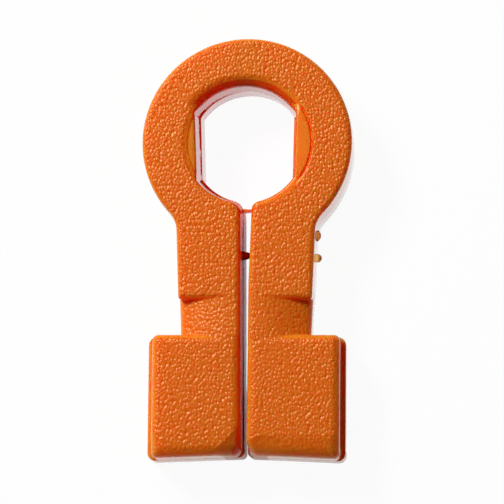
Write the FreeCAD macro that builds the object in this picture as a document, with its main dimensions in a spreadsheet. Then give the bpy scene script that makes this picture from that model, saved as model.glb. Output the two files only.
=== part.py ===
import FreeCAD, Part
import os
import re
import Sketcher

# Small one-piece moulded spring clamp, lying flat on its back face.
# X runs across the clamp, Y from the jaw tips to the ring, Z up through its thickness.
# The origin is under the middle of the whole outline, on the face that the clamp rests on.
# The real clamp is one moulding: it is shaped whole, then divided where it bends and where
# its section changes, so that each zone is a solid that meets its neighbours face to face.

# Driving sizes in millimetres.
SIZES = {
    "overall_length": 50.0,
    "thickness": 8.0,
    "ring_radius": 12.5,
    "counterbore_radius": 7.2,
    "counterbore_depth": 0.55,
    "bore_radius": 6.85,
    "left_flat": 6.0,
    "right_flat": 5.6,
    "arm_half_top": 8.4,
    "arm_half_low": 8.0,
    "neck_half": 7.8,
    "neck_length": 4.2,
    "neck_crown_radius": 19.5,
    "neck_crown_rise": 0.1,
    "jaw_half": 10.95,
    "jaw_ledge": 0.73,
    "jaw_length": 14.6,
    "slit_left_top": 0.66,
    "slit_left_tip": 0.36,
    "slit_right_top": 0.62,
    "slit_right_bend": 0.31,
    "slit_right_tip": 0.22,
    "slit_bend_y": -4.0,
    "tip_chamfer": 0.3,
    "mouth_chamfer": 0.4,
    "edge_radius": 0.5,
    "rim_radius": 0.3,
    "corner_radius": 0.6,
    "back_corner_radius": 0.9,
    "crown_half": 3.2,
    "limb_drop": 4.6,
    "upper_gate_stub_y": 1.8,
    "upper_gate_stub_radius": 0.75,
    "upper_gate_stub_height": 0.37,
    "lower_gate_stub_y": -0.9,
    "lower_gate_stub_radius": 0.5,
    "lower_gate_stub_height": 0.6,
    "web_y": 4.72,
    "web_width": 0.38,
    "web_height": 1.6,
    "stop_y": -0.6,
    "stop_base_radius": 0.65,
    "stop_tip_radius": 0.3,
    "running_gap": 0.03,
    "margin": 2.0,
}

# Places that several features share, written with the sizes above and with each other.
FORMULAS = {
    "ring_y": "overall_length / 2 - ring_radius",
    "tip_y": "-overall_length / 2",
    "jaw_top_y": "tip_y + jaw_length",
    "neck_top_y": "jaw_top_y + neck_length",
    "arm_root_y": "ring_y - arm_half_top",
    "limb_end_y": "ring_y - limb_drop",
    "mouth_y": "ring_y - bore_radius",
    "slit_top_y": "mouth_y - mouth_chamfer",
    "middle_z": "thickness / 2",
    "jaw_back_half": "jaw_half + jaw_ledge",
    "arm_taper": "(arm_half_top - arm_half_low) / (arm_root_y - neck_top_y)",
    "left_slit_taper": "(slit_left_top - slit_left_tip) / (slit_top_y - tip_y)",
    "right_slit_taper": "(slit_right_top - slit_right_bend) / (slit_top_y - slit_bend_y)",
}

doc = FreeCAD.newDocument("spring_clamp")
sheet = doc.addObject("Spreadsheet::Sheet", "sizes")


def fill_sheet():
    """Write every size into its own row, with the size's name as the alias."""
    for row, (alias, value) in enumerate(SIZES.items(), start=1):
        sheet.set(f"A{row}", alias.replace("_", " "))
        sheet.set(f"B{row}", str(value))
        sheet.setAlias(f"B{row}", alias)
    doc.recompute()


def bound(formula):
    """The formula with shared places written out and every size as a reference to the sheet."""
    def expand(match):
        name = match.group()
        if name in FORMULAS:
            return f"({bound(FORMULAS[name])})"
        return f"sizes.{name}" if name in SIZES else name
    return re.sub(r"[a-z]\w*", expand, formula)


def value(formula):
    """The present value of a formula, used to draw a sketch near its final shape."""
    return float(sheet.evalExpression(bound(formula)))


def bind(thing, **formulas):
    """Drive the named properties of an object from the sheet."""
    for name, formula in formulas.items():
        thing.setExpression(name.replace("__", "."), bound(formula))


def new_sketch(body, name, role="XY_Plane", lift=None):
    """A sketch on one of the body's own origin planes, lifted by a formula where one is given."""
    sketch = body.newObject("Sketcher::SketchObject", name)
    plane = next(feature for feature in body.Origin.OriginFeatures if feature.Role == role)
    sketch.AttachmentSupport = [(plane, "")]
    sketch.MapMode = "FlatFace"
    if lift:
        bind(sketch, AttachmentOffset__Base__z=lift)
    return sketch


def hold(sketch, kind, places, formula):
    """Add one dimension to a sketch and drive it from the sheet."""
    index = sketch.addConstraint(Sketcher.Constraint(kind, *places, value(formula)))
    sketch.setExpression(f"Constraints[{index}]", bound(formula))


def close_loop(sketch, lines):
    """Join the end of each piece of a loop to the start of the next."""
    for line, following in zip(lines, lines[1:] + lines[:1]):
        sketch.addConstraint(Sketcher.Constraint("Coincident", line, 2, following, 1))


def add_polygon(sketch, corners):
    """A closed outline of straight lines through corners given as pairs of formulas."""
    points = [FreeCAD.Vector(value(across), value(along), 0) for across, along in corners]
    lines = [
        sketch.addGeometry(Part.LineSegment(start, end))
        for start, end in zip(points, points[1:] + points[:1])
    ]
    close_loop(sketch, lines)
    for line, (across, along) in zip(lines, corners):
        hold(sketch, "DistanceX", (-1, 1, line, 1), across)
        hold(sketch, "DistanceY", (-1, 1, line, 1), along)


def add_rounded_box(sketch, half, low, high, radius):
    """An upright rectangle about the Y axis with four rounded corners."""
    side, bottom, top, bend = (value(formula) for formula in (half, low, high, radius))
    diagonal = bend * 0.5 ** 0.5
    pieces = []
    for across, along in ((1, -1), (1, 1), (-1, 1), (-1, -1)):
        centre = FreeCAD.Vector(across * (side - bend), bottom + bend if along < 0 else top - bend, 0)
        on_side = centre + FreeCAD.Vector(across * bend, 0, 0)
        on_end = centre + FreeCAD.Vector(0, along * bend, 0)
        middle = centre + FreeCAD.Vector(across * diagonal, along * diagonal, 0)
        ends = (on_end, on_side) if across * along < 0 else (on_side, on_end)
        pieces.append((ends[0], middle, ends[1]))
    arcs = [sketch.addGeometry(Part.Arc(*points)) for points in pieces]
    lines = [
        sketch.addGeometry(Part.LineSegment(piece[2], following[0]))
        for piece, following in zip(pieces, pieces[1:] + pieces[:1])
    ]
    for index, (arc, line) in enumerate(zip(arcs, lines)):
        sketch.addConstraint(Sketcher.Constraint("Tangent", arc, 2, line, 1))
        sketch.addConstraint(Sketcher.Constraint("Tangent", line, 2, arcs[(index + 1) % 4], 1))
        sketch.addConstraint(Sketcher.Constraint("Horizontal" if index % 2 else "Vertical", line))
    for arc in arcs[1:]:
        sketch.addConstraint(Sketcher.Constraint("Equal", arcs[0], arc))
    hold(sketch, "Radius", (arcs[0],), radius)
    hold(sketch, "DistanceX", (-1, 1, lines[0], 1), half)
    hold(sketch, "DistanceX", (-1, 1, lines[2], 1), f"-({half})")
    hold(sketch, "DistanceY", (-1, 1, lines[1], 1), high)
    hold(sketch, "DistanceY", (-1, 1, lines[3], 1), low)


def add_barrel(sketch, left, right, radius, upper_centre, lower_centre):
    """A closed outline of two upright lines joined by an arc above and an arc below."""
    bulge = value(radius)
    sides = [value(f"-({left})"), value(right)]

    def corner(side, centre, direction):
        rise = (bulge ** 2 - side ** 2) ** 0.5
        return FreeCAD.Vector(side, value(centre) + direction * rise, 0)

    def arc(start, end, centre, direction):
        top = FreeCAD.Vector(0, value(centre) + direction * bulge, 0)
        return sketch.addGeometry(Part.Arc(start, top, end))

    upper_left, upper_right = (corner(side, upper_centre, 1) for side in sides)
    lower_left, lower_right = (corner(side, lower_centre, -1) for side in sides)
    upper = arc(upper_right, upper_left, upper_centre, 1)
    left_line = sketch.addGeometry(Part.LineSegment(upper_left, lower_left))
    lower = arc(lower_left, lower_right, lower_centre, -1)
    right_line = sketch.addGeometry(Part.LineSegment(lower_right, upper_right))
    close_loop(sketch, [upper, left_line, lower, right_line])
    for line in (left_line, right_line):
        sketch.addConstraint(Sketcher.Constraint("Vertical", line))
    hold(sketch, "DistanceX", (-1, 1, left_line, 1), f"-({left})")
    hold(sketch, "DistanceX", (-1, 1, right_line, 1), right)
    for curve, centre in ((upper, upper_centre), (lower, lower_centre)):
        sketch.addConstraint(Sketcher.Constraint("PointOnObject", curve, 3, -2))
        hold(sketch, "DistanceY", (-1, 1, curve, 3), centre)
        hold(sketch, "Radius", (curve,), radius)


def add_circle(sketch, radius):
    """A circle about the ring's centre."""
    centre = FreeCAD.Vector(0, value("ring_y"), 0)
    circle = sketch.addGeometry(Part.Circle(centre, FreeCAD.Vector(0, 0, 1), value(radius)))
    sketch.addConstraint(Sketcher.Constraint("PointOnObject", circle, 3, -2))
    hold(sketch, "DistanceY", (-1, 1, circle, 3), "ring_y")
    hold(sketch, "Radius", (circle,), radius)


def pad(body, sketch, name, length):
    feature = body.newObject("PartDesign::Pad", name)
    feature.Profile = sketch
    bind(feature, Length=length)
    doc.recompute()


def pocket(body, sketch, name, length, upwards=False):
    """Cut a sketch's prism out of the body, and make sure that it removes something."""
    volume = body.Shape.Volume
    feature = body.newObject("PartDesign::Pocket", name)
    feature.Profile = sketch
    feature.Reversed = upwards
    bind(feature, Length=length)
    doc.recompute()
    if body.Shape.Volume >= volume:
        raise RuntimeError(f"{name} removes nothing")


def fillet(body, name, radius, chosen):
    """Round every edge of the body's present shape that the test accepts."""
    base = body.Tip
    edges = [f"Edge{number}" for number, edge in enumerate(base.Shape.Edges, start=1) if chosen(edge)]
    feature = body.newObject("PartDesign::Fillet", name)
    feature.Base = (base, edges)
    bind(feature, Radius=radius)
    doc.recompute()


def on_either_face(edge):
    box = edge.BoundBox
    return box.ZLength < 1e-4 and min(abs(box.ZMin), abs(box.ZMin - value("thickness"))) < 1e-4


def build_blank(body):
    """Ring disc, tapered arms and jaws with a wider back half, rounded along both faces."""
    ring = new_sketch(body, "ring_outline")
    add_circle(ring, "ring_radius")
    pad(body, ring, "ring_disc", "thickness")

    arms = new_sketch(body, "arms_outline")
    add_polygon(arms, [
        ("-arm_half_top", "arm_root_y"),
        ("-arm_half_low", "neck_top_y"),
        ("-arm_half_low", "jaw_top_y - edge_radius"),
        ("arm_half_low", "jaw_top_y - edge_radius"),
        ("arm_half_low", "neck_top_y"),
        ("arm_half_top", "arm_root_y"),
    ])
    pad(body, arms, "arms_blank", "thickness")

    for name, half, corner, height in (
        ("jaws", "jaw_half", "corner_radius", "thickness"),
        ("jaw_backs", "jaw_back_half", "back_corner_radius", "middle_z"),
    ):
        outline = new_sketch(body, f"{name}_outline")
        add_rounded_box(outline, half, "tip_y", "jaw_top_y", corner)
        pad(body, outline, f"{name}_blank", height)
    fillet(body, "outline_edges", "edge_radius", on_either_face)


def cut_necks(body):
    """Crown the necks: full thickness at the slit, falling away towards the outer sides."""
    section = new_sketch(body, "neck_section", "XZ_Plane", lift="-jaw_top_y")
    reach = "jaw_back_half + margin"
    add_polygon(section, [
        (f"-({reach})", "-margin"),
        (reach, "-margin"),
        (reach, "thickness + margin"),
        (f"-({reach})", "thickness + margin"),
    ])
    add_barrel(section, "neck_half", "neck_half", "neck_crown_radius",
               "thickness - neck_crown_radius + neck_crown_rise",
               "neck_crown_radius - neck_crown_rise")
    pocket(body, section, "neck_crowning", "neck_length")


def cut_ring_hole(body):
    """Shallow round counterbore on the front, a hole with two flats through the rest, rounded rims."""
    flats = new_sketch(body, "bore_outline")
    add_barrel(flats, "left_flat", "right_flat", "bore_radius", "ring_y", "ring_y")
    pocket(body, flats, "bore", "thickness", upwards=True)

    seat = new_sketch(body, "counterbore_outline", lift="thickness")
    add_circle(seat, "counterbore_radius")
    pocket(body, seat, "counterbore", "counterbore_depth")

    centre = FreeCAD.Vector(0, value("ring_y"), 0)
    reach = value("counterbore_radius") + 0.1

    def on_rim(edge):
        middle = edge.valueAt((edge.FirstParameter + edge.LastParameter) / 2)
        return on_either_face(edge) and FreeCAD.Vector(middle.x, middle.y, 0).distanceToPoint(centre) < reach

    fillet(body, "hole_rims", "rim_radius", on_rim)


def cut_slit(body):
    """Slit from the hole to the jaw tips, wider at the ring, with eased corners at both ends."""
    slit = new_sketch(body, "slit_outline")
    left_side = [
        ("-slit_left_top - mouth_chamfer", "mouth_y + margin"),
        ("-slit_left_top - mouth_chamfer", "mouth_y"),
        ("-slit_left_top", "slit_top_y"),
        ("-slit_left_tip", "tip_y + tip_chamfer"),
        ("-slit_left_tip - tip_chamfer", "tip_y"),
        ("-slit_left_tip - tip_chamfer", "tip_y - margin"),
    ]
    right_side = [
        ("slit_right_tip + tip_chamfer", "tip_y - margin"),
        ("slit_right_tip + tip_chamfer", "tip_y"),
        ("slit_right_tip", "tip_y + tip_chamfer"),
        ("slit_right_bend", "slit_bend_y"),
        ("slit_right_top", "slit_top_y"),
        ("slit_right_top + mouth_chamfer", "mouth_y"),
        ("slit_right_top + mouth_chamfer", "mouth_y + margin"),
    ]
    add_polygon(slit, left_side + right_side)
    pocket(body, slit, "slit", "thickness", upwards=True)


def build_moulding():
    body = doc.addObject("PartDesign::Body", "moulding")
    body.Label = "moulding"
    build_blank(body)
    cut_necks(body)
    cut_ring_hole(body)
    cut_slit(body)
    return body


def box_between(name, low, high):
    """A block between two corners given as formulas."""
    block = doc.addObject("Part::Box", name)
    for axis, side, start, end in zip("xyz", ("Length", "Width", "Height"), low, high):
        bind(block, **{f"Placement__Base__{axis}": start, side: f"({end}) - ({start})"})
    return block


def join(kind, name, base, tool):
    """A boolean of two objects of the document: Common keeps what they share, Cut what is left."""
    result = doc.addObject(f"Part::{kind}", name)
    result.Base = base
    result.Tool = tool
    return result


def zone(name, moulding, across, along):
    """The share of the moulding between two places across it and two along it."""
    block = box_between(f"{name}_block", (across[0], along[0], "-margin"),
                        (across[1], along[1], "thickness + margin"))
    return join("Common", name, moulding, block)


def side_zones(side, moulding):
    """The zones of one half, from the flexing limb down to the jaw."""
    reach = "ring_radius + margin"
    near, far = {
        "left": (("-crown_half", "0"), f"-({reach})"),
        "right": (("crown_half", "0"), reach),
    }[side]
    spans = [tuple(sorted((start, far), key=value)) for start in near]
    limb_span, half_span = spans
    bore = doc.addObject("Part::Cylinder", f"{side}_bore_space")
    bind(bore, Radius="bore_radius", Height="thickness + 2 * margin",
         Placement__Base__y="ring_y", Placement__Base__z="-margin")
    ring_side = zone(f"{side}_ring_side", moulding, limb_span, ("limb_end_y", "ring_y + ring_radius + margin"))
    return [
        join("Cut", f"{side}_spring_limb", ring_side, bore),
        join("Common", f"{side}_hole_land", ring_side, bore),
        zone(f"{side}_arm", moulding, half_span, ("neck_top_y", "limb_end_y")),
        zone(f"{side}_neck", moulding, half_span, ("jaw_top_y", "neck_top_y")),
        zone(f"{side}_jaw", moulding, half_span, ("tip_y - margin", "jaw_top_y")),
    ]


def gate_stub(name, moulding):
    """Low dome left by a moulding gate, on the right arm's outer side at the parting line."""
    along, radius, height = (f"{name}_{size}" for size in ("y", "radius", "height"))
    ball = doc.addObject("Part::Sphere", f"{name}_ball")
    wall = f"arm_half_low + ({along} - neck_top_y) * arm_taper"
    bind(ball, Radius=radius, Placement__Base__x=f"{wall} - {radius} + {height}",
         Placement__Base__y=along, Placement__Base__z="middle_z")
    return join("Cut", name, ball, moulding)


def right_wall(along):
    """How far the slit's right wall is from the middle, above the bend."""
    return f"slit_right_bend + ({along} - slit_bend_y) * right_slit_taper"


def left_wall(along):
    """How far the slit's left wall is from the middle."""
    return f"slit_left_tip + ({along} - tip_y) * left_slit_taper"


def slit_web(moulding):
    """Thin web of flash across the slit just below the hole, grown on the left arm only."""
    block = box_between(
        "slit_web_block",
        ("-slit_left_top - mouth_chamfer", "web_y - web_width / 2", "middle_z - web_height / 2"),
        (f"{right_wall('web_y - web_width / 2')} - running_gap", "web_y + web_width / 2",
         "middle_z + web_height / 2"),
    )
    return join("Cut", "slit_web", block, moulding)


def slit_stop(moulding):
    """Blunt cone on the left arm that keeps the slit open half way down the arms."""
    cone = doc.addObject("Part::Cone", "slit_stop_cone")
    cone.Placement.Rotation = FreeCAD.Rotation(FreeCAD.Vector(0, 1, 0), 90)
    root = "stop_base_radius / 4"
    bind(cone, Radius1="stop_base_radius", Radius2="stop_tip_radius",
         Height=f"{root} + {left_wall('stop_y')} + {right_wall('stop_y')} - 2 * running_gap",
         Placement__Base__x=f"-({left_wall('stop_y')}) - {root}",
         Placement__Base__y="stop_y", Placement__Base__z="middle_z")
    return join("Cut", "slit_stop", cone, moulding)


def export(parts):
    """Refuse any failed object or broken shape, then write one file for each part."""
    doc.recompute()
    for thing in doc.Objects:
        if {"Invalid", "Error"} & set(thing.State):
            raise RuntimeError(f"{thing.Name} failed: {thing.State}")
    os.makedirs("parts", exist_ok=True)
    for part in parts:
        shape = part.Shape
        if shape.isNull() or not shape.isValid() or len(shape.Solids) != 1:
            raise RuntimeError(f"{part.Name} is not one sound solid")
        part.Label = part.Name
        shape.exportStep(f"parts/{part.Label}.step")
        print(part.Label, round(shape.Volume, 3))


fill_sheet()
moulding = build_moulding()
export([
    zone("spring_crown", moulding, ("-crown_half", "crown_half"),
         ("ring_y", "ring_y + ring_radius + margin")),
    *side_zones("left", moulding),
    *side_zones("right", moulding),
    gate_stub("upper_gate_stub", moulding),
    gate_stub("lower_gate_stub", moulding),
    slit_web(moulding),
    slit_stop(moulding),
])
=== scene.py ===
import math

import bpy
import numpy as np
from mathutils import Euler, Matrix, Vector


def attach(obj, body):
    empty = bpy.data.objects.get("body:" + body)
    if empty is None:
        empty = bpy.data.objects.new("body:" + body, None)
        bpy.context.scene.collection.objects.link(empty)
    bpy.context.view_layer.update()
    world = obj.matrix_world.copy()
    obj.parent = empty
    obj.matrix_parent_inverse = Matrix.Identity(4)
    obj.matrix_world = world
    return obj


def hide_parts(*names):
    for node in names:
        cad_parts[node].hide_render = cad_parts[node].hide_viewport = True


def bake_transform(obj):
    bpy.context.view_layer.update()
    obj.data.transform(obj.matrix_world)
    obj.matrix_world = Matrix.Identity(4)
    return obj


# Small orange spring clamp, moulded in one piece, lying on its back face.
# Shapes are written in millimetres in the part's own frame: X across, Y from jaws to ring, Z up.
# The front and back halves of the mould meet at the parting plane, half way up, and a depth is the
# distance from that plane to either face.
# Each large piece is the left or the right side of the moulding, cut at the middle of the ring's crown.
# Its surface is where a distance field is zero. The fields below are built up from simple shapes.

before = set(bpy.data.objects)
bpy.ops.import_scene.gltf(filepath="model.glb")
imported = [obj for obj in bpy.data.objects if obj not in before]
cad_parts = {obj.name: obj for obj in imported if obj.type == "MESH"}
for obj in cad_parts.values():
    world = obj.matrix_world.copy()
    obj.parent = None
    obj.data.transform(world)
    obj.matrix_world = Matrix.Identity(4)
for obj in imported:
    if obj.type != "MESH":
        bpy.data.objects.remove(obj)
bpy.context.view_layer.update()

MM = 0.001

# Sizes shared with the solids, but for the ring's radius, which is a hair less so that it stays in them
RING_Y = 12.5
RING_RADIUS = 12.49
TIP_Y = -25.0
JAW_TOP_Y = -10.4
NECK_TOP_Y = -6.2
PARTING_Z = 4.0

# The pebbled faces stay this far inside the full thickness, so that the grain's tops stay in it too
GRAIN_ROOM = 0.05
SPARE_ROOM = 0.02
FACE_DEPTH = PARTING_Z - GRAIN_ROOM - SPARE_ROOM

# Ring, arms and necks: walls lean by the draft for each millimetre of depth. Each arm's outer side moves
# out by 0.4 mm over its length of 10.3 mm. The necks' faces are flat beside the slit and then fall.
DRAFT = 0.022
ARM_HALF_LOW = 8.0
ARM_WIDENING = 0.4 / 10.3
RIGHT_ARM_INSET = 0.1
JUNCTION_RADIUS = 0.8
EDGE_RADIUS = 0.6
STEP_FILLET = 0.12
NECK_TOP_HALF = 7.9
NECK_LOW_HALF = 7.72
NECK_FLAT = 1.4
NECK_FALL = 0.040
NECK_OVERRUN = 1.0

# A name that ends in GROWS, FADES or TILT holds the place where a share is 0 and the place where it is 1.

# Hole: its front edge is bevelled at the top, and a bevel's width far below 0 cuts nothing off. Beside the
# flats the face steps down to a shallow seat.
SEAT_CENTRE = (0.31, 12.45)
SEAT_RADIUS = 7.37
SEAT_SLOPE_WIDTH = 0.65
SEAT_FALL = 0.22
SEAT_GROWS = (5.4, 6.2)
STEP_FALL = 0.13
STEP_WIDTH = 0.15
GROOVE_DEPTH = 0.2
GROOVE_GROWS = (0.18, 0.03)
HOLE_FRONT_EDGE = 0.3
HOLE_BACK_EDGE = 0.32
HOLE_TOP_BEVEL = 0.95
NO_BEVEL = -1.0
BEVEL_GROWS = (14.8, 17.0)
BEVEL_EDGE = 0.3

# Slit: each pair of the wall is its distance from the middle at the tip or the bend, and its growth for
# each millimetre above that
LEFT_SLIT = (0.36, 0.0101)
RIGHT_SLIT_LOW = (0.17, 0.0043)
RIGHT_SLIT_HIGH = (0.26, 0.0335)
SLIT_BEND_Y = -4.0
SLIT_STEP_GROWS = (-15.5, -18.5)
SLIT_STEP_GAIN = 0.5
TIP_FLARE = 0.3
TIP_FLARE_Y = -22.9
TIP_FLARE_GROWS = (0.0, 2.0)
MOUTH_RADII = {-1: 1.15, 1: 0.8}
MOUTH_GROWS = (4.0, 4.8)

# Jaws: near the tips the front face slopes down, at the right from a bent crease and steeper beside the
# slit, at the left in a facet past a slanting line
TIP_ROOM = 0.05
TIP_SLOPE = 0.04
TIP_EDGE_GAIN = 0.35
TIP_EDGE_GROWS = (-22.0, -23.5)
JAW_TOP_RISE = 0.08
JAW_EDGE_GROWS = (JAW_TOP_Y, JAW_TOP_Y - 0.8)
RIGHT_CREASE_Y = -22.3
RIGHT_CREASE_SLANT = 0.35
RIGHT_CREASE_BEND_X = 1.6
RIGHT_FACET_SLOPE = 0.17
RIGHT_FACET_TWIST = 0.28
RIGHT_TWIST_GROWS = (4.5, 0.5)
LEFT_FACET_PLACE = (-0.4, -20.9)
LEFT_FACET_ACROSS = (0.73, -0.69)
LEFT_FACET_SLOPE = 0.42
LEFT_END_Y = -22.6
LEFT_END_SLOPE = 0.04

# Parting plane: the halves overlap a little and have small edges there
PARTING_EDGE = 0.05
PARTING_OVERLAP = 0.02
LEDGE_EDGE = 0.2

# Grid spacing for the surface, wider in the depth of the walls, and how far it may bend before an edge
# counts as sharp
CELL = 0.13
DEEP_CELL = 0.3
DEEP_LEVELS = (0.06, 2.7)
SMALL_CELL = 0.05
CORNER_SOFTNESS = 0.05
SHARP_EDGE = math.radians(50)

# Pebbled grain of a spark-eroded mould, on what faces the front or the back, at the photo's own size of
# about 0.4 mm from peak to peak. Tilts are the upward share of a surface's direction. The grain is worn
# where the tips' facets are deep.
GRAIN_PITCH = 0.3
GRAIN_HEIGHT = 0.1
GRAIN_TILT = (0.76, 0.92)
SMOOTH_DEPTH = 1.0
SMOOTH_MARGIN = 0.3
WORN_FALL = 0.9
MOST_WORN = 0.7
WALL_GRAIN = 0.06
SMALL_GRAIN = 0.3

# Where the plastic is satin, where a deep red tone is painted shade, or where it is lit from within
SATIN_TILT = (0.0, 0.5)
SATIN_SLIT_HALF = 2.6
SATIN_SLIT_TOP = 6.4
TIP_SATIN = 0.6
TIP_SATIN_LENGTH = 1.2
PAINTED_SHADE_TILT = (0.77, 0.72)
PAINTED_SHADE_HOLE_RADIUS = 9.0
PAINTED_SHADE_SLIT_WIDTH = 1.5
CUT_FADES = (0.0, 2.0)
GRAIN_SCATTER = 0.5

# Acetal: how far red, green and blue light travel in it, the finishes that the mould gives it, the width
# of its faint flow marks, and the finer part of the grain
LIGHT_REACH = (5.0, 0.06, 0.02)
POLISHED_ROUGHNESS = 0.12
SATIN_ROUGHNESS = 0.33
POLISHED_COAT = 0.7
FLOW_PITCH = 4.545
FLOW_CONTRAST = 0.3
PEBBLE_PITCH = 0.4
PEBBLE_HEIGHT = 0.1
PEBBLE_NARROWING = (1.25, 1.0, 1.0)

# Moulding marks, all on the parting plane: flash web across the slit, stop cone, roots of the gate stubs
WEB_X = -0.06
WEB_Y = 4.75
WEB_HALF_LENGTH = 0.62
WEB_HALF_WIDTH = 0.15
WEB_NARROWING = 0.07
WEB_HALF_HEIGHT = 0.7
STOP_Y = -0.6
STOP_ROOT_X = -0.75
STOP_LENGTH = 1.12
STOP_ROOT_RADIUS = 0.65
STOP_TAPER = 0.32
GATE_ROOT = 0.1
MARK_EDGE = 0.04
MARK_END_EDGES = {"web": 0.1, "stop": 0.08}

# Jaws, hole and slit in each half of the mould. The hole's radius, its flats, its centre's Y and the
# slit's step are pairs: the size at the parting plane, and its growth for each millimetre away from it.
# The skew is how far the left and the right flat lean out for each millimetre along Y.
MOULD_HALVES = {
    "front": {
        "lean": DRAFT,
        "jaw_half": 11.0,
        "right_jaw_gain": 0.2,
        "jaw_corner": 0.75,
        "jaw_edge": 0.95,
        "bore_centre": (-0.3, (12.46, -0.06)),
        "bore_radius": (6.74, 0.10),
        "left_flat": (5.80, 0.087),
        "right_flat": (5.49, 0.06),
        "flat_skew": (0.042, 0.027),
        "slit_step": (0.0, 0.0),
    },
    "back": {
        "lean": 0.0,
        "jaw_half": 11.68,
        "right_jaw_gain": 0.0,
        "jaw_corner": 0.95,
        "jaw_edge": 0.6,
        "bore_centre": (-0.08, (12.5, 0.0)),
        "bore_radius": (6.72, 0.04),
        "left_flat": (5.685, -0.029),
        "right_flat": (5.3, -0.035),
        "flat_skew": (0.034, 0.02),
        "slit_step": (0.06, 0.05),
    },
}


def ramp(value, nothing, full):
    """A share that rises from 0 at one value to 1 at another, and stays level beyond them."""
    return np.clip((value - nothing) / (full - nothing), 0, 1)


def rounded_overlap(a, b, radius):
    """What lies in both shapes, with the edge between them rounded."""
    edge = np.hypot(np.maximum(a + radius, 0), np.maximum(b + radius, 0))
    return np.minimum(np.maximum(a, b), -radius) + edge


def filleted_union(a, b, radius):
    """What lies in either shape, with the corner between them filled by a fillet."""
    corner = np.hypot(np.maximum(radius - a, 0), np.maximum(radius - b, 0))
    return np.maximum(np.minimum(a, b), radius) - corner


def ring_and_arms(x, y, depth):
    lean = DRAFT * depth
    ring = np.hypot(x, y - RING_Y) - RING_RADIUS + lean
    arms = np.abs(x) - ARM_HALF_LOW - (y - NECK_TOP_Y) * ARM_WIDENING + lean + RIGHT_ARM_INSET * (x > 0)
    arms = np.maximum(arms, y - RING_Y + SEAT_RADIUS)
    outline = filleted_union(ring, arms, JUNCTION_RADIUS)
    outline = rounded_overlap(outline, NECK_TOP_Y - y, EDGE_RADIUS / 2)
    return rounded_overlap(outline, depth - FACE_DEPTH, EDGE_RADIUS)


def necks(x, y, depth):
    """Level with the faces beside the slit, crowned down towards the outer sides."""
    share = (NECK_TOP_Y - y) / (NECK_TOP_Y - JAW_TOP_Y)
    side = np.abs(x) - NECK_TOP_HALF + (NECK_TOP_HALF - NECK_LOW_HALF) * share + DRAFT * depth
    ends = np.abs(y - (NECK_TOP_Y + JAW_TOP_Y) / 2) - (NECK_TOP_Y - JAW_TOP_Y) / 2 - NECK_OVERRUN
    fall = NECK_FALL * np.square(np.maximum(np.abs(x) - NECK_FLAT, 0))
    return rounded_overlap(np.maximum(side, ends), depth - FACE_DEPTH + fall, EDGE_RADIUS)


def tip_fall(x, y):
    """How far the front face of each jaw falls away near its tip."""
    crease = RIGHT_CREASE_Y - RIGHT_CREASE_SLANT * np.maximum(RIGHT_CREASE_BEND_X - x, 0)
    slope = RIGHT_FACET_SLOPE + RIGHT_FACET_TWIST * ramp(x, *RIGHT_TWIST_GROWS)
    right = slope * np.maximum(crease - y, 0)
    past_line = (LEFT_FACET_ACROSS[0] * (x - LEFT_FACET_PLACE[0])
                 + LEFT_FACET_ACROSS[1] * (y - LEFT_FACET_PLACE[1]))
    left = LEFT_FACET_SLOPE * np.maximum(past_line, 0) + LEFT_END_SLOPE * np.maximum(LEFT_END_Y - y, 0)
    return np.where(x > 0, right, left)


def jaws(x, y, depth, name):
    half = MOULD_HALVES[name]
    lean = half["lean"] * depth
    side = np.abs(x) - half["jaw_half"] - half["right_jaw_gain"] * (x > 0) + lean
    tip = TIP_Y + TIP_ROOM + TIP_SLOPE * (MOULD_HALVES["front"]["jaw_half"] - np.abs(x)) - y + lean
    ends = np.maximum(y - JAW_TOP_Y - JAW_TOP_RISE + lean, tip)
    face = depth - FACE_DEPTH
    edge = half["jaw_edge"]
    if name == "front":
        face = face + tip_fall(x, y)
        edge = edge + TIP_EDGE_GAIN * ramp(y, *TIP_EDGE_GROWS)
    outline = rounded_overlap(side, ends, half["jaw_corner"])
    return rounded_overlap(outline, face, edge)


def bore(x, y, depth, half):
    """The hole through this half of the mould, with its two flats; each wall leans with the depth."""
    radius, left, right = (start + growth * depth for start, growth in
                           (half["bore_radius"], half["left_flat"], half["right_flat"]))
    centre_x, (centre_y, drift) = half["bore_centre"]
    left_skew, right_skew = half["flat_skew"]
    across = np.maximum(-x - left - left_skew * (y - RING_Y), x - right - right_skew * (y - RING_Y))
    return np.maximum(np.hypot(x - centre_x, y - centre_y - drift * depth) - radius, across)


def seat_fall(x, y):
    """How far the front face falls beside the flats: at the left a gentle slope and a small step down to
    the seat, at the right only a narrow groove round it."""
    across, along = x - SEAT_CENTRE[0], y - SEAT_CENTRE[1]
    radius = np.hypot(across, along)
    leftness = 0.5 - 0.5 * across / np.maximum(radius, 1)
    slope = ramp(radius, SEAT_RADIUS + SEAT_SLOPE_WIDTH, SEAT_RADIUS)
    step = ramp(radius, SEAT_RADIUS + STEP_WIDTH / 2, SEAT_RADIUS - STEP_WIDTH / 2)
    groove = ramp(np.abs(radius - SEAT_RADIUS), *GROOVE_GROWS)
    fall = leftness * (SEAT_FALL * slope + STEP_FALL * step) + (1 - leftness) * GROOVE_DEPTH * groove
    return fall * ramp(np.abs(across), *SEAT_GROWS)


def pierced(body, x, y, depth, name):
    """The body with its hole, and at the front with the seat and the bevel at the hole's top."""
    hole_wall = -bore(x, y, depth, MOULD_HALVES[name])
    if name == "back":
        return rounded_overlap(body, hole_wall, HOLE_BACK_EDGE)
    body = np.maximum(body, depth - FACE_DEPTH + seat_fall(x, y))
    bevel_width = NO_BEVEL + (HOLE_TOP_BEVEL - NO_BEVEL) * ramp(y, *BEVEL_GROWS)
    bevel = (depth - FACE_DEPTH + hole_wall + bevel_width) / math.sqrt(2)
    return rounded_overlap(rounded_overlap(body, bevel, BEVEL_EDGE), hole_wall, HOLE_FRONT_EDGE)


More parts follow.
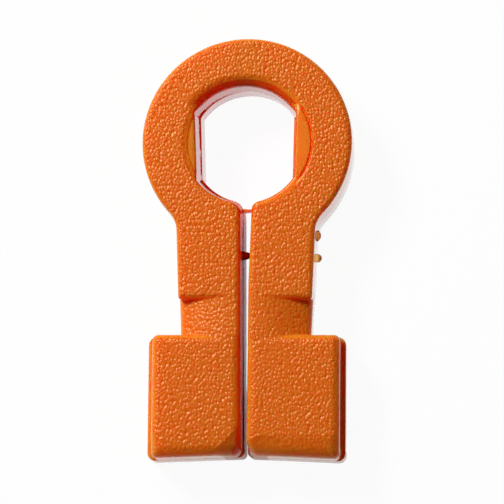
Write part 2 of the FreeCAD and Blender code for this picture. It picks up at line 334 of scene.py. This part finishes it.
def slit_wall(x, y, depth, name, side):
    """Distance to the slit's wall on one side, negative in the plastic. Behind the parting plane the left
    wall stands a little further into the slit. In front of it the right wall opens at the tip."""
    if side < 0:
        start, growth = LEFT_SLIT
        step, step_growth = MOULD_HALVES[name]["slit_step"]
        step_in = (step + step_growth * depth) * (1 + SLIT_STEP_GAIN * ramp(y, *SLIT_STEP_GROWS))
        wall = start + growth * (y - TIP_Y) - step_in
    else:
        (low_start, low_growth), (high_start, high_growth) = RIGHT_SLIT_LOW, RIGHT_SLIT_HIGH
        low_wall = low_start + low_growth * (y - TIP_Y)
        high_wall = high_start + high_growth * (y - SLIT_BEND_Y)
        wall = np.where(y < SLIT_BEND_Y, low_wall, high_wall)
        if name == "front":
            wall = wall + TIP_FLARE * np.maximum(TIP_FLARE_Y - y, 0) * ramp(depth, *TIP_FLARE_GROWS)
    return np.where(y < RING_Y, wall - side * x + DRAFT * depth, -RING_RADIUS)


def moulding(x, y, z, name, side):
    """Distance to the surface of one side of the moulding, negative in the plastic, in millimetres."""
    depth = np.abs(z - PARTING_Z)
    body = filleted_union(ring_and_arms(x, y, depth), necks(x, y, depth), STEP_FILLET)
    body = filleted_union(body, jaws(x, y, depth, name), STEP_FILLET)
    body = pierced(body, x, y, depth, name)
    slit_edge = EDGE_RADIUS + (MOUTH_RADII[side] - EDGE_RADIUS) * ramp(y, *MOUTH_GROWS)
    if name == "front":
        slit_edge = slit_edge + (MOULD_HALVES[name]["jaw_edge"] - EDGE_RADIUS) * ramp(y, *JAW_EDGE_GROWS)
    return rounded_overlap(body, slit_wall(x, y, depth, name, side), slit_edge)


def both_halves(x, y, z, side):
    """The front and back halves of one side, united at the parting plane."""
    edge = np.where(y > JAW_TOP_Y - EDGE_RADIUS, PARTING_EDGE, LEDGE_EDGE)
    front, back = (rounded_overlap(moulding(x, y, z, name, side),
                                   outward * (PARTING_Z - z) - PARTING_OVERLAP, edge)
                   for name, outward in (("front", 1), ("back", -1)))
    return np.minimum(front, back)


def levels(low, high, cell):
    """Grid levels that reach past both ends, and have neither end on a level."""
    return np.arange(low - 1.5 * cell, high + 2 * cell, cell)


def slopes(field, points, step=0.002):
    """The outward direction of a distance field at each point."""
    gradient = np.empty_like(points)
    for axis in range(3):
        ahead, behind = points.copy(), points.copy()
        ahead[:, axis] += step
        behind[:, axis] -= step
        gradient[:, axis] = field(*ahead.T) - field(*behind.T)
    return gradient / np.maximum(np.linalg.norm(gradient, axis=1, keepdims=True), 1e-12)


def settle(points, normals, cells):
    """One point for each cell, where the planes of the crossings round it meet."""
    counts = np.bincount(cells)
    middle = np.stack([np.bincount(cells, points[:, k]) / counts for k in range(3)], axis=1)
    offset = np.einsum("ij,ij->i", normals, points - middle[cells])
    matrix = np.empty((len(counts), 3, 3))
    for i in range(3):
        for j in range(3):
            matrix[:, i, j] = np.bincount(cells, normals[:, i] * normals[:, j])
    matrix += CORNER_SOFTNESS * np.eye(3)
    pull = np.stack([np.bincount(cells, normals[:, k] * offset) for k in range(3)], axis=1)
    return middle + np.linalg.solve(matrix, pull[:, :, None])[:, :, 0]


def skin(field, grid_levels):
    """Points and four-sided faces of the closed surface where the field is zero, sharp at its edges."""
    values = field(*np.meshgrid(*grid_levels, indexing="ij", sparse=False))
    cell_counts = np.array(values.shape) - 1
    points, normals, owners, faces = [], [], [], []
    for axis in range(3):
        before, after = [slice(None)] * 3, [slice(None)] * 3
        before[axis], after[axis] = slice(None, -1), slice(1, None)
        start = np.argwhere((values[tuple(before)] < 0) != (values[tuple(after)] < 0))
        end = start.copy()
        end[:, axis] += 1
        low, high = (values[tuple(place.T)] for place in (start, end))
        corner, far_corner = (np.stack([grid_levels[k][place[:, k]] for k in range(3)], axis=1)
                              for place in (start, end))
        share = low / (low - high)
        for _ in range(2):
            point = corner + (far_corner - corner) * share[:, None]
            share = np.clip(share - field(*point.T) / (high - low), 0, 1)
        point = corner + (far_corner - corner) * share[:, None]
        normal = slopes(field, point)
        ring = []
        for u, v in ((-1, -1), (0, -1), (0, 0), (-1, 0)):
            cell = start.copy()
            cell[:, (axis + 1) % 3] += u
            cell[:, (axis + 2) % 3] += v
            ring.append(np.ravel_multi_index(cell.T, cell_counts))
        ring = np.stack(ring, axis=1)
        faces.append(np.where((low < 0)[:, None], ring, ring[:, ::-1]))
        points.append(np.repeat(point, 4, axis=0))
        normals.append(np.repeat(normal, 4, axis=0))
        owners.append(ring.ravel())
    used, cells = np.unique(np.concatenate(owners), return_inverse=True)
    settled = settle(np.concatenate(points), np.concatenate(normals), cells)
    place = np.stack(np.unravel_index(used, cell_counts), axis=1)
    for k in range(3):
        settled[:, k] = np.clip(settled[:, k], grid_levels[k][place[:, k]], grid_levels[k][place[:, k] + 1])
    return settled, np.searchsorted(used, np.concatenate(faces))


def make_object(name, points, faces):
    mesh = bpy.data.meshes.new(name)
    mesh.from_pydata((points * MM).tolist(), [], faces.tolist())
    made = bpy.data.objects.new(name, mesh)
    bpy.context.scene.collection.objects.link(made)
    return made


def store(mesh, name, kind, values):
    attribute = mesh.attributes.new(name, kind, "POINT")
    attribute.data.foreach_set("value" if kind == "FLOAT" else "vector", np.ravel(values).astype(np.float32))


def grain_share(points, outward):
    """1 on the spark-eroded faces, very little on the walls, in the seat and on the ledges."""
    x, y, z = points.T
    facing = ramp(np.abs(outward[:, 2]), *GRAIN_TILT)
    outside_seat = np.hypot(x - SEAT_CENTRE[0], y - SEAT_CENTRE[1]) > SEAT_RADIUS + SMOOTH_MARGIN
    on_face = facing * (np.abs(z - PARTING_Z) > SMOOTH_DEPTH) * (outside_seat | (z < PARTING_Z))
    worn = np.clip(tip_fall(x, y) * (z > PARTING_Z) / WORN_FALL, 0, MOST_WORN)
    return np.maximum(on_face * (1 - worn), WALL_GRAIN)


def satin_share(points, outward):
    """0 on the polished outer walls and in the bore, 1 on faces, in the seat and in the slit. The jaws'
    tips are in between."""
    x, y, _ = points.T
    in_slit = (np.abs(x) < SATIN_SLIT_HALF) & (y < SATIN_SLIT_TOP)
    at_tip = TIP_SATIN * (y < TIP_Y + TIP_SATIN_LENGTH)
    return np.maximum(ramp(np.abs(outward[:, 2]), *SATIN_TILT), np.maximum(in_slit, at_tip))


def painted_shade_share(points, outward):
    """1 on the walls and bevels of the hole and on the slit's left wall, where a deep red tone is painted
    shade.
    """
    x, y, _ = points.T
    in_hole = np.hypot(x, y - RING_Y) < PAINTED_SHADE_HOLE_RADIUS
    in_slit = (x > -PAINTED_SHADE_SLIT_WIDTH) & (x < 0) & (y < RING_Y)
    return (in_hole | in_slit) * ramp(np.abs(outward[:, 2]), *PAINTED_SHADE_TILT)


def flesh_share(points, grain):
    """1 where light comes back from deep inside, less where the pebbles scatter it at the surface, and 0
    at the cut in the ring's crown."""
    x, y, _ = points.T
    return np.where(y > RING_Y, ramp(np.abs(x), *CUT_FADES), 1) * (1 - GRAIN_SCATTER * grain)


def add_node(tree, kind, settings=None, inputs=None):
    """Add one node. Its inputs take a plain value, or an output of another node."""
    node = tree.nodes.new(kind)
    for name, setting in (settings or {}).items():
        setattr(node, name, setting)
    for socket, source in (inputs or {}).items():
        if isinstance(source, bpy.types.NodeSocket):
            tree.links.new(source, node.inputs[socket])
        else:
            node.inputs[socket].default_value = source
    return node


def grain_tree():
    """Geometry nodes that raise the pebbled grain of a spark-eroded mould on a surface."""
    tree = bpy.data.node_groups.new("spark_eroded_grain", "GeometryNodeTree")
    tree.interface.new_socket("Surface", in_out="INPUT", socket_type="NodeSocketGeometry")
    for name in ("Pitch", "Height", "Room"):
        tree.interface.new_socket(name, in_out="INPUT", socket_type="NodeSocketFloat")
    tree.interface.new_socket("Plastic", in_out="INPUT", socket_type="NodeSocketMaterial")
    tree.interface.new_socket("Surface", in_out="OUTPUT", socket_type="NodeSocketGeometry")
    given = add_node(tree, "NodeGroupInput").outputs
    place = add_node(tree, "GeometryNodeInputPosition").outputs[0]
    scale = add_node(tree, "ShaderNodeMath", {"operation": "DIVIDE"}, {0: 1.0, 1: given["Pitch"]}).outputs[0]
    pebbles = add_node(tree, "ShaderNodeTexNoise", {"noise_dimensions": "2D"},
                       {"Vector": place, "Scale": scale, "Detail": 1.0, "Roughness": 0.5})
    centred = add_node(tree, "ShaderNodeMath", {"operation": "SUBTRACT"}, {0: pebbles.outputs[0], 1: 0.5})
    full_rise = add_node(tree, "ShaderNodeMath", {"operation": "MULTIPLY"},
                         {0: centred.outputs[0], 1: given["Height"]})
    held_rise = add_node(tree, "ShaderNodeMath", {"operation": "MINIMUM"},
                         {0: full_rise.outputs[0], 1: given["Room"]})
    share = add_node(tree, "GeometryNodeInputNamedAttribute", {"data_type": "FLOAT"}, {"Name": "grain"})
    rise = add_node(tree, "ShaderNodeMath", {"operation": "MULTIPLY"},
                    {0: held_rise.outputs[0], 1: share.outputs[0]})
    outward = add_node(tree, "GeometryNodeInputNamedAttribute", {"data_type": "FLOAT_VECTOR"},
                       {"Name": "outward"})
    offset = add_node(tree, "ShaderNodeVectorMath", {"operation": "SCALE"},
                      {0: outward.outputs[0], "Scale": rise.outputs[0]})
    raised = add_node(tree, "GeometryNodeSetPosition", None,
                      {"Geometry": given["Surface"], "Offset": offset.outputs[0]})
    real = add_node(tree, "GeometryNodeRealizeInstances", None, {0: raised.outputs[0]})
    dressed = add_node(tree, "GeometryNodeSetMaterial", None,
                       {"Geometry": real.outputs[0], "Material": given["Plastic"]})
    add_node(tree, "NodeGroupOutput", None, {0: dressed.outputs[0]})
    return tree


def finish_surface(made, tree, pitch, height, plastic):
    """Raise the grain, make the result the object's own mesh, and mark its sharp edges."""
    modifier = made.modifiers.new("grain", "NODES")
    modifier.node_group = tree
    given = {"Pitch": pitch * MM, "Height": height * MM, "Room": GRAIN_ROOM * MM, "Plastic": plastic}
    for socket in tree.interface.items_tree:
        if socket.in_out == "INPUT" and socket.name in given:
            modifier[socket.identifier] = given[socket.name]
    raised = made.evaluated_get(bpy.context.evaluated_depsgraph_get())
    mesh = bpy.data.meshes.new_from_object(raised)
    made.modifiers.clear()
    made.data = mesh
    mesh.attributes.remove(mesh.attributes["outward"])
    mesh.shade_smooth()
    mesh.set_sharp_from_angle(angle=SHARP_EDGE)


def make_side(side, tree, plastic):
    """The left or right side of the moulding, closed by a flat cut at the middle of the ring's crown."""
    def uncut(x, y, z):
        return both_halves(x, y, z, side)

    def field(x, y, z):
        return np.maximum(uncut(x, y, z), np.where(y > RING_Y, -side * x, -RING_RADIUS))

    deep = np.arange(*DEEP_LEVELS, DEEP_CELL)
    depths = np.concatenate([deep, np.arange(deep[-1] + CELL, FACE_DEPTH + 2 * CELL, CELL)])
    heights = np.concatenate([PARTING_Z - depths[::-1], PARTING_Z + depths])
    across = levels(0.0, RING_RADIUS, CELL)
    along = levels(TIP_Y, RING_Y + RING_RADIUS, CELL)
    points, faces = skin(field, (across if side > 0 else -across[::-1], along, heights))
    made = make_object("right_moulding" if side > 0 else "left_moulding", points, faces)
    outward = slopes(uncut, points)
    grain = grain_share(points, outward)
    store(made.data, "outward", "FLOAT_VECTOR", outward)
    store(made.data, "grain", "FLOAT", grain)
    store(made.data, "satin", "FLOAT", satin_share(points, outward))
    # The red share marks where the deep red tone goes, which is painted shade
    store(made.data, "red", "FLOAT", painted_shade_share(points, outward))
    store(made.data, "flesh", "FLOAT", flesh_share(points, grain))
    finish_surface(made, tree, GRAIN_PITCH, GRAIN_HEIGHT, plastic)
    return made


def join_frame(made, side):
    """Bake the side's place into its mesh, and hide the spring crown and that side's CAD pieces, which it
    stands in for.
    """
    side_name = "right" if side > 0 else "left"
    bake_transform(made)
    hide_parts("spring_crown", *(f"{side_name}_{zone}" for zone in
                                        ("spring_limb", "hole_land", "arm", "neck", "jaw")))


def small_piece(name, field, low, high, tree, plastic):
    """A small moulding mark, made on a finer grid between two corners of a box."""
    grid_levels = [levels(start, end, SMALL_CELL) for start, end in zip(low, high)]
    points, faces = skin(field, grid_levels)
    made = make_object(name, points, faces)
    store(made.data, "outward", "FLOAT_VECTOR", slopes(field, points))
    for share, value in (("grain", SMALL_GRAIN), ("satin", 1.0), ("red", 0.0), ("flesh", 1.0)):
        store(made.data, share, "FLOAT", np.full(len(points), value))
    finish_surface(made, tree, GRAIN_PITCH / 2, GRAIN_HEIGHT / 2, plastic)
    return made


def colour(hex_code):
    """A linear colour from its sRGB hex code."""
    parts = [int(hex_code[place:place + 2], 16) / 255 for place in (0, 2, 4)]
    return [c / 12.92 if c <= 0.04045 else ((c + 0.055) / 1.055) ** 2.4 for c in parts] + [1.0]


def moulded_acetal(name, smooth_tone, grained_tone, painted_shade_tone, clear_share):
    """Orange acetal, injection moulded. Red light travels furthest inside it, so that its shaded sides
    look deep red, and thin flash is partly clear. The polished part of the mould leaves glossy walls, and
    the spark-eroded part satin faces with fine pebbles. Its tones are for smooth places, for the grain,
    and a deep red one that is painted shade, laid on where the red share marks."""
    material = bpy.data.materials.new(name)
    material.use_nodes = True
    tree = material.node_tree
    tree.nodes.clear()
    place = add_node(tree, "ShaderNodeTexCoord").outputs["Object"]
    grain, satin, red, flesh = (
        add_node(tree, "ShaderNodeAttribute", {"attribute_name": share}).outputs["Fac"]
        for share in ("grain", "satin", "red", "flesh"))
    flow = add_node(tree, "ShaderNodeTexNoise", None,
                    {"Vector": place, "Scale": 1 / (FLOW_PITCH * MM), "Detail": 2.0})
    pitted = add_node(tree, "ShaderNodeMath", {"operation": "MULTIPLY_ADD"},
                      {0: flow.outputs[0], 1: FLOW_CONTRAST, 2: grain})
    orange = add_node(tree, "ShaderNodeMix", {"data_type": "RGBA"},
                      {"Factor": pitted.outputs[0], 6: colour(smooth_tone), 7: colour(grained_tone)})
    # The deep red tone mixed in by the red share is painted shade
    tone = add_node(tree, "ShaderNodeMix", {"data_type": "RGBA"},
                    {"Factor": red, 6: orange.outputs[2], 7: colour(painted_shade_tone)})
    narrowed = add_node(tree, "ShaderNodeVectorMath", {"operation": "MULTIPLY"},
                        {0: place, 1: PEBBLE_NARROWING})
    pebbles = add_node(tree, "ShaderNodeTexVoronoi", {"feature": "SMOOTH_F1", "voronoi_dimensions": "2D"},
                       {"Vector": narrowed.outputs[0], "Scale": 1 / (PEBBLE_PITCH * MM), "Smoothness": 0.25})
    domes = add_node(tree, "ShaderNodeMath", {"operation": "POWER"},
                     {0: pebbles.outputs["Distance"], 1: 2.0})
    bump = add_node(tree, "ShaderNodeBump", {"invert": True},
                    {"Strength": grain, "Distance": PEBBLE_HEIGHT * MM, "Height": domes.outputs[0]})
    roughness = add_node(tree, "ShaderNodeMath", {"operation": "MULTIPLY_ADD"},
                         {0: satin, 1: SATIN_ROUGHNESS - POLISHED_ROUGHNESS, 2: POLISHED_ROUGHNESS})
    polish = add_node(tree, "ShaderNodeMath", {"operation": "MULTIPLY_ADD"},
                      {0: satin, 1: -POLISHED_COAT, 2: POLISHED_COAT})
    surface = add_node(tree, "ShaderNodeBsdfPrincipled", None,
                       {"Base Color": tone.outputs[2], "Roughness": roughness.outputs[0], "IOR": 1.48,
                        "Specular Tint": colour("FFDAAE"), "Transmission Weight": clear_share,
                        "Coat Weight": polish.outputs[0], "Coat Roughness": 0.1,
                        "Subsurface Weight": flesh, "Subsurface Radius": LIGHT_REACH,
                        "Subsurface Scale": MM, "Normal": bump.outputs[0]})
    add_node(tree, "ShaderNodeOutputMaterial", None, {"Surface": surface.outputs[0]})
    return material


def white_sweep():
    """Matt white studio paper. The camera, reflections and clear plastic see it near pure white, with a
    faint shadow."""
    even_white = 0.95
    material = bpy.data.materials.new("white_studio_paper")
    material.use_nodes = True
    tree = material.node_tree
    tree.nodes.clear()
    rays = add_node(tree, "ShaderNodeLightPath").outputs
    seen = add_node(tree, "ShaderNodeMath", {"operation": "MAXIMUM"},
                    {0: rays["Is Camera Ray"], 1: rays["Is Glossy Ray"]})
    seen = add_node(tree, "ShaderNodeMath", {"operation": "MAXIMUM"},
                    {0: seen.outputs[0], 1: rays["Is Transmission Ray"]})
    share = add_node(tree, "ShaderNodeMath", {"operation": "MULTIPLY"}, {0: seen.outputs[0], 1: even_white})
    paper = add_node(tree, "ShaderNodeBsdfDiffuse", None, {"Color": colour("F6F6F6")})
    glow = add_node(tree, "ShaderNodeEmission", None, {"Color": colour("FFFFFF"), "Strength": 1.0})
    mixed = add_node(tree, "ShaderNodeMixShader", None,
                     {0: share.outputs[0], 1: paper.outputs[0], 2: glow.outputs[0]})
    add_node(tree, "ShaderNodeOutputMaterial", None, {"Surface": mixed.outputs[0]})
    return material


def make_stage():
    """A floor that fills the view; its reach to each side is in metres."""
    reach = 1.5
    mesh = bpy.data.meshes.new("floor")
    corners = [(-reach, -reach, 0), (reach, -reach, 0), (reach, reach, 0), (-reach, reach, 0)]
    mesh.from_pydata(corners, [], [(0, 1, 2, 3)])
    floor = bpy.data.objects.new("floor", mesh)
    bpy.context.scene.collection.objects.link(floor)
    mesh.materials.append(white_sweep())


# Softbox: the way to it from the clamp, its distance and size in metres, its power in watts. The room
# adds a faint light from all sides.
KEY_DIRECTION = (-0.50, 0.50, 0.71)
KEY_DISTANCE = 0.7
KEY_SIZE = 0.2
KEY_POWER = 5.4
ROOM_LIGHT = 0.05


def area_light(name, place, size, power):
    """A square softbox that faces the clamp."""
    data = bpy.data.lights.new(name, "AREA")
    data.size = size
    data.energy = power
    light = bpy.data.objects.new(name, data)
    light.location = place
    light.rotation_euler = place.to_track_quat("Z", "Y").to_euler()
    bpy.context.scene.collection.objects.link(light)


def make_lights():
    """One softbox, high on the ring's side and to the left, in a dim room with a white backdrop."""
    world = bpy.data.worlds.new("dim_room")
    world.use_nodes = True
    tree = world.node_tree
    tree.nodes.clear()
    rays = add_node(tree, "ShaderNodeLightPath").outputs
    strength = add_node(tree, "ShaderNodeMix", {"data_type": "FLOAT"},
                        {"Factor": rays["Is Camera Ray"], 2: ROOM_LIGHT, 3: 1.0})
    room = add_node(tree, "ShaderNodeBackground", None,
                    {"Color": colour("FFFFFF"), "Strength": strength.outputs[0]})
    add_node(tree, "ShaderNodeOutputWorld", None, {"Surface": room.outputs[0]})
    bpy.context.scene.world = world
    area_light("key_softbox", Vector(KEY_DIRECTION).normalized() * KEY_DISTANCE, KEY_SIZE, KEY_POWER)


# Camera: lengths in millimetres, angles in degrees, focal length in pixels of a square picture
CAMERA_AIM = (0.46, -0.14, 4.0)
CAMERA_DISTANCE = 366.5
CAMERA_TURN = (8.283, 4.314, 0.543)
FOCAL_PIXELS = 3089.9
PICTURE_PIXELS = 504


def make_camera():
    """Looks down on the front face from the jaw side and a little from the right."""
    data = bpy.data.cameras.new("camera")
    data.sensor_width = 36.0
    data.lens = FOCAL_PIXELS / PICTURE_PIXELS * data.sensor_width
    data.clip_start, data.clip_end = 0.01, 10.0
    camera = bpy.data.objects.new("camera", data)
    bpy.context.scene.collection.objects.link(camera)
    turn = Euler([math.radians(angle) for angle in CAMERA_TURN])
    camera.rotation_euler = turn
    camera.location = Vector(CAMERA_AIM) * MM + turn.to_matrix() @ Vector((0, 0, CAMERA_DISTANCE * MM))
    bpy.context.scene.camera = camera


def slit_web_field(x, y, z):
    """A film of flash across the slit, a little thicker at the left."""
    across = np.abs(x - WEB_X) - WEB_HALF_LENGTH
    along = np.abs(y - WEB_Y) - WEB_HALF_WIDTH + WEB_NARROWING * x
    film = rounded_overlap(across, along, MARK_EDGE)
    return rounded_overlap(film, np.abs(z - PARTING_Z) - WEB_HALF_HEIGHT, MARK_END_EDGES["web"])


def slit_stop_field(x, y, z):
    """A blunt cone from the left wall of the slit to the right one."""
    across = x - STOP_ROOT_X
    radius = STOP_ROOT_RADIUS - STOP_TAPER * np.clip(across, 0, STOP_LENGTH)
    side = np.hypot(y - STOP_Y, z - PARTING_Z) - radius
    ends = np.abs(across - STOP_LENGTH / 2) - STOP_LENGTH / 2
    return rounded_overlap(side, ends, MARK_END_EDGES["stop"])


def gate_stub_field(along, reach, radius):
    """A low dome on the outer side of the right arm."""
    wall = ARM_HALF_LOW - RIGHT_ARM_INSET + (along - NECK_TOP_Y) * ARM_WIDENING

    def field(x, y, z):
        ball = np.sqrt((x - wall - reach + radius) ** 2 + (y - along) ** 2 + (z - PARTING_Z) ** 2) - radius
        return rounded_overlap(ball, wall - GATE_ROOT - x, MARK_EDGE)
    return field


def make_marks(tree, thick, thin, shaded):
    """The flash web, the slit's stop and the two gate stubs, each with the node it replaces, its body, its
    plastic, its shape and the corners of a box round it."""
    marks = {
        "slit_web_flash": ("slit_web", "left_half", thick, slit_web_field,
                           (-0.75, 4.4, 3.2), (0.65, 5.1, 4.8)),
        # The stop cone's plastic has a deep red tone that is painted shade
        "slit_stop_cone": ("slit_stop", "left_half", shaded, slit_stop_field,
                           (-0.8, -1.4, 3.2), (0.5, 0.2, 4.8)),
        # The gate domes' plastic is partly clear, and its pale tone is painted light
        "upper_gate_dome": ("upper_gate_stub", "right_half", thin,
                            gate_stub_field(along=1.8, reach=0.45, radius=0.75),
                            (7.8, 0.9, 3.1), (8.9, 2.7, 4.9)),
        "lower_gate_dome": ("lower_gate_stub", "right_half", thin,
                            gate_stub_field(along=-0.9, reach=0.66, radius=0.5),
                            (7.8, -1.6, 3.3), (9.0, -0.2, 4.7)),
    }
    for name, (node, body, plastic, field, low, high) in marks.items():
        mark = small_piece(name, field, low, high, tree, plastic)
        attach(mark, body)
        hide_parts(node)


make_camera()
make_lights()
make_stage()
# F05412 is painted shade: the deep red tone on the hole's walls and bevels and the slit's left wall
plastic = moulded_acetal("moulded_orange_acetal", "F88E20", "EA7014", "F05412", clear_share=0.0)
# The gate stubs are so thin that they are partly clear and the white floor shows through them; their pale
# tone is painted light
thin_light_painted_plastic = moulded_acetal("thin_light_painted_orange_acetal", "FFBE68", "FFBE68", "FFBE68", clear_share=0.95)
# The cone between the arms has a deep red tone all through: painted shade, for the shade it sits in between
# them
shade_painted_plastic = moulded_acetal("shade_painted_deep_orange_acetal", "F02808", "F02808", "F02808", clear_share=0.0)
tree = grain_tree()
for side in (-1, 1):
    join_frame(make_side(side, tree, plastic), side)
make_marks(tree, plastic, thin_light_painted_plastic, shade_painted_plastic)

bpy.context.scene.view_settings.view_transform = "Standard"
